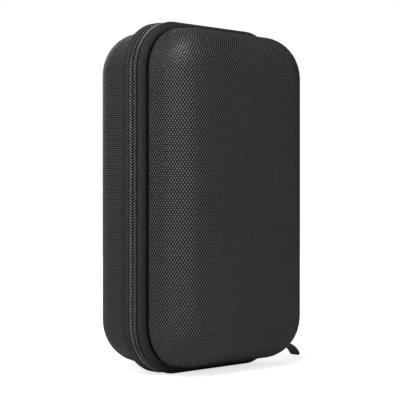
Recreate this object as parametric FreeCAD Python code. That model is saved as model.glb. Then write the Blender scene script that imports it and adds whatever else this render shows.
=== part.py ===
import FreeCAD, Part

import math
import os

from FreeCAD import Matrix, Vector

# Hard-shell carrying case for a game controller, standing on its short end.
# Units are millimetres. X runs across the case, with the hinge at +X.
# Y runs through its depth, from the front half at -Y to the back half at +Y.
# The two halves meet in the zip plane, y = 0. Z points up and z = 0 is the floor.
# Every ring of the case is placed by two numbers: its inset, measured inwards
# from the outermost outline, and its reach, measured away from the zip plane.

# Case outline along the zip
case_height = 230.0
case_width = 140.0
corner_radius = 34.0

# Moulded halves
wall = 4.0
rim_inset = 4.2
rim_reach = 4.7
front_depth = 42.0
back_depth = 47.0
side_draft = 2.3
front_edge_radius = 23.5
back_edge_radius = 23.5

# Zip tapes, folded over the moulded flange of each half
tape_thickness = 0.7
tape_edge_reach = 0.9
tape_seat_inset = 1.75
tape_shoulder_reach = 3.9
tape_shoulder_run = 0.6
front_band_reach = 8.2
back_band_reach = 13.6
front_band_round = 2.4
back_band_round = 4.2
band_bulge = 0.75
band_tuck = 0.2

# Interlocking coils
coil_pitch = 1.87
coil_turn_width = 0.62
coil_overlap = 0.5
coil_reach = 3.5
coil_core_width = 1.0
coil_inset = 0.25
parted_half_gap = 0.95
chain_end_angle = 57.0
parted_from_angle = 12.0

# Stops past both ends of the chain
stop_length = 2.1
stop_gap = 0.35
stop_inset = 0.15
stop_lap = 0.3

# Hinge cloth on the long side without teeth, folding at its outer face
hinge_cloth_thickness = 0.85
hinge_cloth_edge_gap = 0.1
hinge_fold_gap = 0.15
hinge_trim_margin = 1.0

# Bindings sewn over the raw inner rims
binding_thickness = 0.65
binding_leg = 6.0
binding_gap = 0.25

# Zip slider, parked on the lower corner at the hinge side
slider_angle = 49.0
slider_length = 9.0
slider_half_width = 3.6
slider_tail_half_width = 2.8
slider_plate = 1.3
slider_lift = 0.85
slider_under_gap = 0.75
slider_post_length = 2.0
slider_post_half_width = 0.6
slider_nose_length = 2.2
bridge_length = 6.4
bridge_height = 3.3
bridge_shoulder = 1.4
bridge_bar = 1.3
bridge_half_width = 1.5

# Pull: a wire ring through the slider's bridge and a doubled webbing tongue
ring_wire_radius = 0.55
ring_half_width = 5.5
ring_length = 7.4
ring_corner_radius = 1.0
ring_play = 0.15
webbing_width = 8.6
webbing_layer = 1.0
webbing_ring_gap = 0.15
webbing_neck = 4.1
webbing_straight = 6.4
webbing_droop_radius = 18.5
webbing_floor_gap = 0.2

# Foam cradle in the back half
cradle_gap = 0.3
cradle_reach = 16.0
recess_depth = 21.0
recess_middle_z = 98.0
recess_body_length = 146.0
recess_body_width = 58.0
recess_body_shift = -14.0
recess_body_corner = 18.0
grip_length = 84.0
grip_width = 42.0
grip_corner = 19.0
grip_splay = 10.0
grip_spacing = 106.0
grip_shift = 1.0
bay_length = 26.0
bay_width = 84.0
bay_corner = 9.0
bay_middle_z = 195.0
bay_depth = 20.0

# Elastic straps that close over the controller
strap_width = 25.0
strap_thickness = 1.2
strap_rest_gap = 0.25
strap_lap = 28.0
patch_thickness = 0.7
patch_length = 24.0
patch_width = 21.0
anchor_height = 30.0
anchor_thickness = 1.4
anchor_wall_gap = 0.25

# Mesh pocket in the front half
pocket_depth = 15.0
pocket_gap = 0.3
mesh_thickness = 0.8
mesh_top_z = 140.0
hem_width = 10.0
hem_thickness = 2.2
pocket_binding_width = 7.0
pocket_binding_thickness = 1.0

FRONT = -1.0
BACK = 1.0


def save(name, shape):
    """Write one piece and print its volume and the count of its solids."""
    if not shape.isValid():
        print("not valid:", name)
    shape.exportStep("parts/" + name + ".step")
    print(name, "solids", len(shape.Solids), "volume", round(shape.Volume, 1))


def corner_centre_x():
    return case_width / 2 - corner_radius


def outline_edges(inset, y):
    """Edges of the case outline drawn in by the inset, in the plane at depth y.

    They start halfway up the left long side, where every section is drawn.
    """
    cx = corner_centre_x()
    low = corner_radius
    high = case_height - corner_radius
    r = corner_radius - inset
    side = case_width / 2 - inset
    middle = case_height / 2
    s = r * math.sqrt(0.5)
    top = case_height - inset
    bottom = inset

    def line(x0, z0, x1, z1):
        return Part.LineSegment(Vector(x0, y, z0), Vector(x1, y, z1)).toShape()

    def arc(x0, z0, x1, z1, x2, z2):
        return Part.Arc(Vector(x0, y, z0), Vector(x1, y, z1), Vector(x2, y, z2)).toShape()

    return [
        line(-side, middle, -side, high),
        arc(-side, high, -cx - s, high + s, -cx, top),
        line(-cx, top, cx, top),
        arc(cx, top, cx + s, high + s, side, high),
        line(side, high, side, low),
        arc(side, low, cx + s, low - s, cx, bottom),
        line(cx, bottom, -cx, bottom),
        arc(-cx, bottom, -cx - s, low - s, -side, low),
        line(-side, low, -side, middle),
    ]


def outline(inset, y):
    return Part.Wire(outline_edges(inset, y))


def section_point(inset, reach, half):
    """A point of a ring's section, drawn halfway up the left long side."""
    return Vector(-case_width / 2 + inset, half * reach, case_height / 2)


def ring(section, half):
    """A ring swept round the case from a closed section of (inset, reach) points.

    A point with a third value is reached by an arc whose middle stands that far
    out from the chord, towards the outside of the case.
    """
    edges = []
    count = len(section)
    for k in range(count):
        start = section_point(section[k][0], section[k][1], half)
        following = section[(k + 1) % count]
        end = section_point(following[0], following[1], half)
        if len(following) == 3:
            chord = end - start
            normal = Vector(-abs(chord.y), math.copysign(chord.x, chord.x * chord.y), 0)
            normal.normalize()
            middle = (start + end) * 0.5 + normal * following[2]
            edges.append(Part.Arc(start, middle, end).toShape())
        else:
            edges.append(Part.LineSegment(start, end).toShape())
    return outline(0.0, 0.0).makePipe(Part.Face(Part.Wire(edges)))


def half_solid(inset, near, far, edge_radius, half):
    """A solid half of the case: drafted sides and a rounded edge round its face."""
    near_wire = outline(inset, half * near)
    far_wire = outline(inset + side_draft, half * far)
    block = Part.makeLoft([near_wire, far_wire], True, True)
    face_edges = []
    for edge in block.Edges:
        box = edge.BoundBox
        if abs(box.YMin - half * far) < 1e-6 and abs(box.YMax - half * far) < 1e-6:
            face_edges.append(edge)
    return block.makeFillet(edge_radius, face_edges)


def hollow_half(depth, edge_radius, half):
    """The moulded wall of one half, before its flange is added."""
    outer = half_solid(rim_inset, rim_reach, depth, edge_radius, half)
    inner = half_solid(rim_inset + wall, rim_reach, depth - wall, edge_radius - wall, half)
    return outer.cut(inner)


def inner_wall_inset(reach, depth):
    """Inset of the inner face of a half's side wall at a reach, above its round."""
    slope = side_draft / (depth - wall - rim_reach)
    return rim_inset + wall + slope * (reach - rim_reach)


def flange_section(band_reach, band_round):
    """Section of the moulded flange that stands out of the wall under the tape."""
    root = rim_inset + wall / 2
    shoulder = tape_shoulder_reach + tape_shoulder_run + tape_thickness
    return [
        (root, rim_reach),
        (tape_seat_inset + tape_thickness, rim_reach),
        (tape_thickness, shoulder),
        (tape_thickness, band_reach - band_round - band_tuck),
        (rim_inset, band_reach - tape_thickness - band_tuck, band_bulge),
        (root, band_reach - tape_thickness - band_tuck),
    ]


def tape_section(band_reach, band_round):
    """Section of the tape: flat under the coil, then folded over the flange."""
    shoulder = tape_shoulder_reach + tape_shoulder_run
    under = tape_seat_inset + tape_thickness
    return [
        (tape_seat_inset, tape_edge_reach),
        (tape_seat_inset, tape_shoulder_reach),
        (0.0, shoulder),
        (0.0, band_reach - band_round),
        (rim_inset, band_reach, band_bulge),
        (rim_inset, band_reach - tape_thickness - band_tuck),
        (tape_thickness, band_reach - band_round - band_tuck, band_bulge),
        (tape_thickness, shoulder + tape_thickness),
        (under, rim_reach),
        (under, tape_edge_reach),
    ]


def moulded_half(depth, edge_radius, band_reach, band_round, half):
    shell = hollow_half(depth, edge_radius, half)
    flange = ring(flange_section(band_reach, band_round), half)
    return shell.fuse(flange).removeSplitter()


def binding(depth, half):
    """L-shaped binding over the raw rim and down the inner wall."""
    start = tape_seat_inset + tape_thickness + binding_gap
    near = rim_reach - binding_thickness
    far = rim_reach + binding_leg
    rim = inner_wall_inset(rim_reach, depth) + binding_gap
    foot = inner_wall_inset(far, depth) + binding_gap
    return ring(
        [
            (start, near),
            (rim + binding_thickness, near),
            (foot + binding_thickness, far),
            (foot, far),
            (rim, rim_reach),
            (start, rim_reach),
        ],
        half,
    )


def corner_directions(angle, top):
    """Centre of a hinge-side corner, and the outward and upright running directions.

    The angle is zero where the short end begins and grows towards the long side.
    """
    a = math.radians(angle)
    lift = -1 if top else 1
    centre = Vector(corner_centre_x(), 0, corner_radius)
    if top:
        centre.z = case_height - corner_radius
    out = Vector(math.sin(a), 0, -lift * math.cos(a))
    along = Vector(math.cos(a), 0, lift * math.sin(a))
    return centre, out, along


def chain_length():
    """Length of the chain, measured on the outermost outline."""
    corner = math.pi * corner_radius / 2
    part_corner = math.radians(chain_end_angle) * corner_radius
    ends = 2 * (case_width - 2 * corner_radius)
    side = case_height - 2 * corner_radius
    return 2 * part_corner + ends + 2 * corner + side


def chain_place(distance):
    """Point, outward and running directions at a distance along the chain.

    The distance starts at the parked end, on the lower corner at the hinge side,
    and runs along the floor, up the left side and back over the top.
    """
    cx = corner_centre_x()
    low = corner_radius
    high = case_height - corner_radius
    r = corner_radius
    part = math.radians(chain_end_angle) * r
    end_run = case_width - 2 * r
    quarter = math.pi * r / 2
    side_run = case_height - 2 * r
    d = distance
    if d < part:
        a = (part - d) / r
        out = Vector(math.sin(a), 0, -math.cos(a))
        return Vector(cx, 0, low) + out * r, out, Vector(-math.cos(a), 0, -math.sin(a))
    d -= part
    if d < end_run:
        return Vector(cx - d, 0, 0), Vector(0, 0, -1), Vector(-1, 0, 0)
    d -= end_run
    if d < quarter:
        a = d / r
        out = Vector(-math.sin(a), 0, -math.cos(a))
        return Vector(-cx, 0, low) + out * r, out, Vector(-math.cos(a), 0, math.sin(a))
    d -= quarter
    if d < side_run:
        return Vector(-case_width / 2, 0, low + d), Vector(-1, 0, 0), Vector(0, 0, 1)
    d -= side_run
    if d < quarter:
        a = d / r
        out = Vector(-math.cos(a), 0, math.sin(a))
        return Vector(-cx, 0, high) + out * r, out, Vector(math.sin(a), 0, math.cos(a))
    d -= quarter
    if d < end_run:
        return Vector(-cx + d, 0, case_height), Vector(0, 0, 1), Vector(1, 0, 0)
    d -= end_run
    a = d / r
    out = Vector(math.sin(a), 0, math.cos(a))
    return Vector(cx, 0, high) + out * r, out, Vector(math.cos(a), 0, -math.sin(a))


def hinge_side_wedge(angle, near, far, half):
    """Everything on the hinge side beyond the given corner angle, as a cutter."""
    a = math.radians(angle)
    cx = corner_centre_x()
    big = case_width
    low = Vector(cx, 0, corner_radius)
    high = Vector(cx, 0, case_height - corner_radius)
    low_out = low + Vector(math.sin(a), 0, -math.cos(a)) * big
    high_out = high + Vector(math.sin(a), 0, math.cos(a)) * big
    near_y = half * (near - hinge_trim_margin)
    points = [low, low_out, high_out, high, low]
    base = [Vector(p.x, near_y, p.z) for p in points]
    face = Part.Face(Part.makePolygon(base))
    return face.extrude(Vector(0, half * (far - near + 2 * hinge_trim_margin), 0))


def coil_point(distance, inset, reach, half):
    """A point of a coil's comb at a distance along the chain."""
    point, out, along = chain_place(distance)
    place = point - out * inset
    return Vector(place.x, half * reach, place.z)


def flat_face(corners):
    return Part.Face(Part.makePolygon(corners + corners[:1]))


def coil_cells(half):
    """Stretches of the comb as (start, end, near reach): turns, and gaps between them."""
    root = coil_reach - coil_core_width
    first = coil_pitch * (0.75 if half == FRONT else 0.25)
    parted = math.radians(chain_end_angle - parted_from_angle) * corner_radius
    count = int((chain_length() - first) / coil_pitch)
    cells = []
    for k in range(count):
        start = first + k * coil_pitch - coil_turn_width / 2
        end = start + coil_turn_width
        tip = parted_half_gap if start < parted else -coil_overlap
        cells.append((start, end, tip))
        if k < count - 1:
            cells.append((end, start + coil_pitch, root))
    return cells


def coil(half):
    """Comb of coil turns on their core. The halves' turns stand between each other."""
    root = coil_reach - coil_core_width
    faces = []

    def p(distance, inset, reach):
        return coil_point(distance, inset, reach, half)

    def cross_wall(distance, near, far):
        faces.append(
            flat_face(
                [
                    p(distance, coil_inset, near),
                    p(distance, coil_inset, far),
                    p(distance, tape_seat_inset, far),
                    p(distance, tape_seat_inset, near),
                ]
            )
        )

    cells = coil_cells(half)
    for start, end, near in cells:
        reaches = [near, coil_reach] if near == root else [near, root, coil_reach]
        for inset in (coil_inset, tape_seat_inset):
            rising = [p(start, inset, reach) for reach in reaches]
            falling = [p(end, inset, reach) for reach in reversed(reaches)]
            faces.append(flat_face(rising + falling))
        for reach in (near, coil_reach):
            faces.append(
                flat_face(
                    [
                        p(start, coil_inset, reach),
                        p(end, coil_inset, reach),
                        p(end, tape_seat_inset, reach),
                        p(start, tape_seat_inset, reach),
                    ]
                )
            )
        if near != root:
            cross_wall(start, near, root)
            cross_wall(end, near, root)
    cross_wall(cells[0][0], root, coil_reach)
    cross_wall(cells[-1][1], root, coil_reach)
    return Part.Solid(Part.makeShell(faces)).removeSplitter()


def corner_angle(length):
    """Angle that a length takes up round the outermost corner."""
    return math.degrees(length / corner_radius)


def end_stop(half, top):
    """Stop crimped on the tape just past the last coil turn."""
    start = chain_end_angle + corner_angle(stop_gap)
    end = start + corner_angle(stop_length)
    centre, out_start, along = corner_directions(start, top)
    centre, out_end, along = corner_directions(end, top)
    centre, out_middle, along = corner_directions((start + end) / 2, top)
    near = half * stop_lap

    def at(direction, inset):
        place = centre + direction * (corner_radius - inset)
        return Vector(place.x, near, place.z)

    outer_arc = Part.Arc(at(out_start, stop_inset), at(out_middle, stop_inset), at(out_end, stop_inset))
    inner_arc = Part.Arc(
        at(out_end, tape_seat_inset), at(out_middle, tape_seat_inset), at(out_start, tape_seat_inset)
    )
    edges = [
        outer_arc.toShape(),
        Part.LineSegment(at(out_end, stop_inset), at(out_end, tape_seat_inset)).toShape(),
        inner_arc.toShape(),
        Part.LineSegment(at(out_start, tape_seat_inset), at(out_start, stop_inset)).toShape(),
    ]
    return Part.Face(Part.Wire(edges)).extrude(Vector(0, half * coil_reach - near, 0))


def end_stops(half):
    return Part.Compound([end_stop(half, False), end_stop(half, True)])


def hinge_cloth(half):
    """One leaf of the cloth hinge, from the fold line to its half's tape shoulder."""
    start = chain_end_angle + corner_angle(2 * stop_gap + stop_length)
    near = hinge_fold_gap
    far = tape_shoulder_reach - hinge_cloth_edge_gap
    outer = Part.Face(outline(tape_seat_inset - hinge_cloth_thickness, half * near))
    inner = Part.Face(outline(tape_seat_inset, half * near))
    band = outer.cut(inner).extrude(Vector(0, half * (far - near), 0))
    return band.common(hinge_side_wedge(start, near, far, half))


def slider_axes():
    """Slider frame: origin on the outline, outward and running directions."""
    centre, out, along = corner_directions(slider_angle, False)
    return centre + out * corner_radius, out, along


def slider_place(shape):
    """Move a shape drawn with X along the chain, Y crosswise and Z outward."""
    origin, out, along = slider_axes()
    cross = out.cross(along)
    turn = Matrix(
        along.x, cross.x, out.x, origin.x,
        along.y, cross.y, out.y, origin.y,
        along.z, cross.z, out.z, origin.z,
        0, 0, 0, 1,
    )
    return shape.transformed(turn)


def slider_plate_solid(base):
    """A slider plate: a broad rounded nose, drawn in towards the tail."""
    half = slider_length / 2
    brow = half - slider_nose_length
    wide = slider_half_width
    tail = slider_tail_half_width
    edges = [
        Part.LineSegment(Vector(-half, -tail, base), Vector(brow, -wide, base)).toShape(),
        Part.Arc(Vector(brow, -wide, base), Vector(half, 0, base), Vector(brow, wide, base)).toShape(),
        Part.LineSegment(Vector(brow, wide, base), Vector(-half, tail, base)).toShape(),
        Part.LineSegment(Vector(-half, tail, base), Vector(-half, -tail, base)).toShape(),
    ]
    return Part.Face(Part.Wire(edges)).extrude(Vector(0, 0, slider_plate))


def slider_top():
    """Height of the upper plate's outer face over the outline."""
    return slider_lift - coil_inset + slider_plate


def slider_body():
    """Two plates held by a post between the tapes, with a bridge for the pull."""
    low = -(tape_seat_inset + tape_thickness + slider_under_gap + slider_plate)
    under = slider_plate_solid(low)
    upper = slider_plate_solid(slider_top() - slider_plate)
    post_start = slider_length / 2 - slider_nose_length - slider_post_length
    post = Part.makeBox(
        slider_post_length,
        2 * slider_post_half_width,
        slider_top() - low,
        Vector(post_start, -slider_post_half_width, low),
    )
    body = under.fuse([upper, post, slider_bridge(slider_top())])
    return slider_place(body.removeSplitter())


def slider_bridge(base):
    """Arched bar over the upper plate."""
    outer = bridge_length / 2
    inner = outer - bridge_bar
    sink = slider_plate / 2

    def p(x, z):
        return Vector(x, -bridge_half_width, base + z)

    crown = p(0, bridge_height)
    eye = p(0, bridge_height - bridge_bar)
    edges = [
        Part.LineSegment(p(-outer, -sink), p(-outer, bridge_shoulder)).toShape(),
        Part.Arc(p(-outer, bridge_shoulder), crown, p(outer, bridge_shoulder)).toShape(),
        Part.LineSegment(p(outer, bridge_shoulder), p(outer, -sink)).toShape(),
        Part.LineSegment(p(outer, -sink), p(inner, -sink)).toShape(),
        Part.LineSegment(p(inner, -sink), p(inner, bridge_shoulder / 2)).toShape(),
        Part.Arc(p(inner, bridge_shoulder / 2), eye, p(-inner, bridge_shoulder / 2)).toShape(),
        Part.LineSegment(p(-inner, bridge_shoulder / 2), p(-inner, -sink)).toShape(),
        Part.LineSegment(p(-inner, -sink), p(-outer, -sink)).toShape(),
    ]
    return Part.Face(Part.Wire(edges)).extrude(Vector(0, 2 * bridge_half_width, 0))


def pull_pivot():
    """Centre of the wire that lies under the bridge."""
    origin, out, along = slider_axes()
    eye = slider_top() + bridge_height - bridge_bar
    return origin + out * (eye - ring_wire_radius - ring_play)


def pull_ring():
    """Wire ring with round corners, standing out level from the bridge."""
    r = ring_corner_radius
    wire = ring_wire_radius
    near = r
    far = ring_length - r
    side = ring_half_width - r
    pieces = []
    for x in (0, ring_length):
        start = pull_pivot() + Vector(x, -side, 0)
        pieces.append(Part.makeCylinder(wire, 2 * side, start, Vector(0, 1, 0)))
    for y in (-ring_half_width, ring_half_width):
        start = pull_pivot() + Vector(near, y, 0)
        pieces.append(Part.makeCylinder(wire, far - near, start, Vector(1, 0, 0)))
    for x, y, turn in ((far, side, 0), (near, side, 90), (near, -side, 180), (far, -side, 270)):
        corner = Part.makeTorus(r, wire, Vector(), Vector(0, 0, 1), -180, 180, 90)
        corner.rotate(Vector(), Vector(0, 0, 1), turn)
        corner.translate(pull_pivot() + Vector(x, y, 0))
        pieces.append(corner)
    return pieces[0].multiFuse(pieces[1:]).removeSplitter()


def pull_webbing():
    """Webbing folded round the ring's far bar and sewn flat, drooping to the floor."""
    hole = ring_wire_radius + webbing_ring_gap
    outer = hole + webbing_layer
    layer = webbing_layer
    bar = pull_pivot() + Vector(ring_length, -webbing_width / 2, 0)
    bend = webbing_droop_radius
    start = webbing_neck + webbing_straight
    droop = math.acos((bend - bar.z + webbing_floor_gap) / (bend - layer))

    def p(x, z):
        return bar + Vector(x, 0, z)

    def on_bend(radius, angle):
        return p(start + radius * math.sin(angle), radius * math.cos(angle) - bend)

    top = bend + layer
    low = bend - layer
    edges = [
        Part.Arc(p(0, outer), p(-outer, 0), p(0, -outer)).toShape(),
        Part.LineSegment(p(0, -outer), p(webbing_neck, -layer)).toShape(),
        Part.LineSegment(p(webbing_neck, -layer), p(start, -layer)).toShape(),
        Part.Arc(p(start, -layer), on_bend(low, droop / 2), on_bend(low, droop)).toShape(),
        Part.LineSegment(on_bend(low, droop), on_bend(top, droop)).toShape(),
        Part.Arc(on_bend(top, droop), on_bend(top, droop / 2), p(start, layer)).toShape(),
        Part.LineSegment(p(start, layer), p(webbing_neck, layer)).toShape(),
        Part.LineSegment(p(webbing_neck, layer), p(0, outer)).toShape(),
    ]
    tongue = Part.Face(Part.Wire(edges)).extrude(Vector(0, webbing_width, 0))
    return tongue.cut(Part.makeCylinder(hole, webbing_width, bar, Vector(0, 1, 0)))


def room(depth, edge_radius, gap, half):
    """The room inside a half, drawn in from its walls by a gap."""
    inset = rim_inset + wall + gap
    return half_solid(inset, rim_reach, depth - wall - gap, edge_radius - wall - gap, half)


def slab(near, far, low, high, half):
    """A slab across the whole case between two reaches and two heights."""
    start = near if half == BACK else -far
    return Part.makeBox(
        2 * case_width, far - near, high - low, Vector(-case_width, start, low)
    )


def rounded_block(width, length, corner, near, far, middle_x, middle_z):
    """A block with round corners, standing along Y."""
    box = Part.makeBox(
        width, far - near, length, Vector(middle_x - width / 2, near, middle_z - length / 2)
    )
    upright = [edge for edge in box.Edges if edge.BoundBox.YLength > (far - near) / 2]
    return box.makeFillet(corner, upright)


def controller_recess(near, far):
    """Room for the controller: a broad body between two splayed grips."""
    body = rounded_block(
        recess_body_width,
        recess_body_length,
        recess_body_corner,
        near,
        far,
        recess_body_shift,
        recess_middle_z,
    )
    grips = []
    for side in (-1, 1):
        middle_z = recess_middle_z + side * grip_spacing / 2
        grip = rounded_block(grip_length, grip_width, grip_corner, near, far, grip_shift, middle_z)
        grip.rotate(Vector(recess_body_shift, 0, middle_z), Vector(0, 1, 0), -side * grip_splay)
        grips.append(grip)
    return body.fuse(grips).removeSplitter()


def foam_cradle():
    """Foam block that fills the back half, with its recess and accessory bay."""
    whole = room(back_depth, back_edge_radius, cradle_gap, BACK)
    block = whole.common(slab(cradle_reach, back_depth, 0, case_height, BACK))
    recess = controller_recess(rim_reach, cradle_reach + recess_depth)
    bay = rounded_block(
        bay_width, bay_length, bay_corner, rim_reach, cradle_reach + bay_depth, 0, bay_middle_z
    )
    return block.cut(recess).cut(bay)


def strap_levels():
    """Reaches of the two straps' far faces: the left one lies under the right one."""
    under = cradle_reach - strap_rest_gap
    over = under - strap_thickness - 2 * patch_thickness
    return under, over


def anchor_face_x():
    """Distance from the middle of the case to the anchors' inner faces."""
    deepest = inner_wall_inset(cradle_reach, back_depth)
    return case_width / 2 - deepest - anchor_wall_gap - anchor_thickness


def strap(side):
    """An elastic strap from its anchor to past the middle, lying over the recess."""
    under, over = strap_levels()
    far = under if side < 0 else over
    reach = anchor_face_x() + strap_lap / 2
    start = -anchor_face_x() if side < 0 else -strap_lap / 2
    low = recess_middle_z - strap_width / 2
    return Part.makeBox(
        reach, strap_thickness, strap_width, Vector(start, far - strap_thickness, low)
    )


def strap_patch(layer):
    """Hook or loop patch between the straps' laps, counted up from the under strap."""
    under, over = strap_levels()
    far = under - strap_thickness - layer * patch_thickness
    low = recess_middle_z - patch_width / 2
    return Part.makeBox(
        patch_length, patch_thickness, patch_width, Vector(-patch_length / 2, far - patch_thickness, low)
    )


def strap_anchors():
    """Two sewn tabs on the inner walls that hold the straps' ends."""
    under, over = strap_levels()
    near = over - 2 * strap_thickness
    low = recess_middle_z - anchor_height / 2
    tabs = []
    for side in (-1, 1):
        start = anchor_face_x() if side > 0 else -anchor_face_x() - anchor_thickness
        tabs.append(
            Part.makeBox(anchor_thickness, under - near, anchor_height, Vector(start, near, low))
        )
    return Part.Compound(tabs)


def pocket_reach():
    """Reach of the mesh panel's side that faces the opening of the case."""
    return front_depth - wall - pocket_depth


def pocket_room():
    return room(front_depth, front_edge_radius, pocket_gap, FRONT)


def mesh_pocket():
    """Mesh panel across the front half, open at its top edge."""
    near = pocket_reach()
    return pocket_room().common(slab(near, near + mesh_thickness, 0, mesh_top_z, FRONT))


def pocket_hem():
    """Elastic hem that gathers the panel's top edge."""
    middle = pocket_reach() + mesh_thickness / 2
    near = middle - hem_thickness / 2
    far = middle + hem_thickness / 2
    return pocket_room().common(slab(near, far, mesh_top_z, mesh_top_z + hem_width, FRONT))


def pocket_binding():
    """Binding tape sewn over the panel's edge along three walls."""
    far = pocket_reach()
    near = far - pocket_binding_thickness
    band = slab(near, far, 0, mesh_top_z, FRONT)
    inset = rim_inset + wall + pocket_gap + pocket_binding_width
    inner = half_solid(
        inset, rim_reach, front_depth, front_edge_radius - wall - pocket_binding_width, FRONT
    )
    return pocket_room().common(band).cut(inner)


def build():
    os.makedirs("parts", exist_ok=True)
    back_shell = moulded_half(back_depth, back_edge_radius, back_band_reach, back_band_round, BACK)
    front_shell = moulded_half(
        front_depth, front_edge_radius, front_band_reach, front_band_round, FRONT
    )
    save("back_shell", back_shell)
    save("front_shell", front_shell)
    save("back_zipper_tape", ring(tape_section(back_band_reach, back_band_round), BACK))
    save("front_zipper_tape", ring(tape_section(front_band_reach, front_band_round), FRONT))
    save("back_rim_binding", binding(back_depth, BACK))
    save("front_rim_binding", binding(front_depth, FRONT))
    save("back_coil", coil(BACK))
    save("front_coil", coil(FRONT))
    save("back_end_stops", end_stops(BACK))
    save("front_end_stops", end_stops(FRONT))
    save("back_hinge_cloth", hinge_cloth(BACK))
    save("front_hinge_cloth", hinge_cloth(FRONT))
    save("slider_body", slider_body())
    save("pull_ring", pull_ring())
    save("pull_webbing", pull_webbing())
    save("foam_cradle", foam_cradle())
    save("retaining_strap_left", strap(-1))
    save("retaining_strap_right", strap(1))
    save("loop_patch", strap_patch(0))
    save("hook_patch", strap_patch(1))
    save("strap_anchors", strap_anchors())
    save("mesh_pocket", mesh_pocket())
    save("pocket_hem", pocket_hem())
    save("pocket_binding", pocket_binding())


build()
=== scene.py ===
# %% [markdown]
# A hard-shell carrying case for a game controller, standing on its short end.
# The CAD frame holds every piece in its true place, in metres. This lesson dresses
# that frame: the moulded halves get their nylon cloth, the zip gets real wound
# coils, and the inside gets knit, mesh and elastic. It starts with the frame.

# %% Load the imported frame
import math

import bpy
import numpy as np
from mathutils import Matrix, Vector


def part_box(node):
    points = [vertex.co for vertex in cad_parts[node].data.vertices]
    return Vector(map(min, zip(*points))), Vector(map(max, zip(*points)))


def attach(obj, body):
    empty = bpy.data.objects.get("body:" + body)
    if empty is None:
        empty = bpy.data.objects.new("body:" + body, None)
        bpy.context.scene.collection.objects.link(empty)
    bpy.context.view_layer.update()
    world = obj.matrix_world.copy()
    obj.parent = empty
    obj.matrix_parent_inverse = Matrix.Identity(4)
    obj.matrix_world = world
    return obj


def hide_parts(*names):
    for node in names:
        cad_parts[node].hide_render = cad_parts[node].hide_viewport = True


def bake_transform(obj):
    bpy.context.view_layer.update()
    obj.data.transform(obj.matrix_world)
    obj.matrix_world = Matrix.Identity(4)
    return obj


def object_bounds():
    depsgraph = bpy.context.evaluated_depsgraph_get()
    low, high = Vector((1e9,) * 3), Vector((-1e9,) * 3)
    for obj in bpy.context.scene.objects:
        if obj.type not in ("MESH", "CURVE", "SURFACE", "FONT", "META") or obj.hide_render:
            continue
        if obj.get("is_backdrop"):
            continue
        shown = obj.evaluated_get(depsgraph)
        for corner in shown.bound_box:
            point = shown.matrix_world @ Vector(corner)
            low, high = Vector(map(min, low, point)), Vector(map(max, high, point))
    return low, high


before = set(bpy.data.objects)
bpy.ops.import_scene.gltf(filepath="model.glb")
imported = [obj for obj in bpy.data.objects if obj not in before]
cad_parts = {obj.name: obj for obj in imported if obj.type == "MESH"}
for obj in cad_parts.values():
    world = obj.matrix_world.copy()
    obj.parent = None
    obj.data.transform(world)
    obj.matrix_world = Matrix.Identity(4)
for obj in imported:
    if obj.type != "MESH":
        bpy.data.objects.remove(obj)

cad_box = [list(corner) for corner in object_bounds()]
MM = 0.001

# %% [markdown]
# Every ring of the case follows one outline: a rectangle with round corners. A
# point of the outline is a point of the inner rectangle that joins the corner
# centres, plus a step outwards. Both the inner point and the direction change
# evenly along each stretch, so the whole outline is two straight interpolations.
# The step shrinks for rings that are drawn in, which keeps all of them parallel.

# %% Outline of the case
HALF_WIDTH = 70.0
HEIGHT = 230.0
CORNER = 34.0
FRONT = -1.0
BACK = 1.0

CORNER_X = HALF_WIDTH - CORNER
LOW = CORNER
HIGH = HEIGHT - CORNER
QUARTER = math.pi / 2 * CORNER
STRETCHES = [HEIGHT / 2 - CORNER, QUARTER, 2 * CORNER_X, QUARTER, HEIGHT - 2 * CORNER,
             QUARTER, 2 * CORNER_X, QUARTER, HEIGHT / 2 - CORNER]
KNOTS = np.concatenate([[0.0], np.cumsum(STRETCHES)])
PERIMETER = KNOTS[-1]


def outline(distance):
    """Inner point and outward direction at distances along the outermost outline.

    The way starts halfway up the hinge side and runs down, along the floor, up
    the toothed side and back over the top. Each value is interpolated straight
    between the ends of the nine stretches.
    """
    x = np.interp(distance, KNOTS, CORNER_X * np.array([1, 1, 1, -1, -1, -1, -1, 1, 1, 1]))
    z = np.interp(distance, KNOTS, [HEIGHT / 2] + [LOW] * 4 + [HIGH] * 4 + [HEIGHT / 2])
    turn = np.interp(distance, KNOTS, np.radians([0, 0, 90, 90, 180, 180, 270, 270, 360, 360]))
    return x, z, np.cos(turn), -np.sin(turn)


def around(distance, inset, reach, half):
    """Points of rings: inner point plus direction times (corner radius less inset).

    The reach is the depth away from the zip plane, on the side of the given half.
    """
    x, z, out_x, out_z = outline(distance)
    step = CORNER - inset
    shape = np.broadcast(x, step, reach).shape
    points = np.empty(shape + (3,))
    points[..., 0] = x + out_x * step
    points[..., 1] = half * reach
    points[..., 2] = z + out_z * step
    return points * MM


def stations(straight_step, corner_step):
    """Distances round the outline, closer together on the corners."""
    runs = []
    for start, end, corner in zip(KNOTS[:-1], KNOTS[1:], [0, 1, 0, 1, 0, 1, 0, 1, 0]):
        count = max(2, round((end - start) / (corner_step if corner else straight_step)))
        runs.append(np.linspace(start, end, count, endpoint=False))
    return np.concatenate(runs)


print("outline:", round(float(PERIMETER), 1), "mm round")

# %% [markdown]
# A piece is a grid of points: rows across its section, columns along its way.
# The grid may close on itself either way, and its ends may be capped. One
# helper turns any such grid, or a stack of many small ones, into a mesh. It
# measures the volume that a closed grid holds and turns it right side out.

# %% Grids into meshes


def paired(first, second):
    """Two arrays side by side as pairs, each stretched to the other's shape."""
    return np.stack(np.broadcast_arrays(first, second), axis=-1)


def signed_power(value, power):
    return np.sign(value) * np.abs(value) ** power


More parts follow.
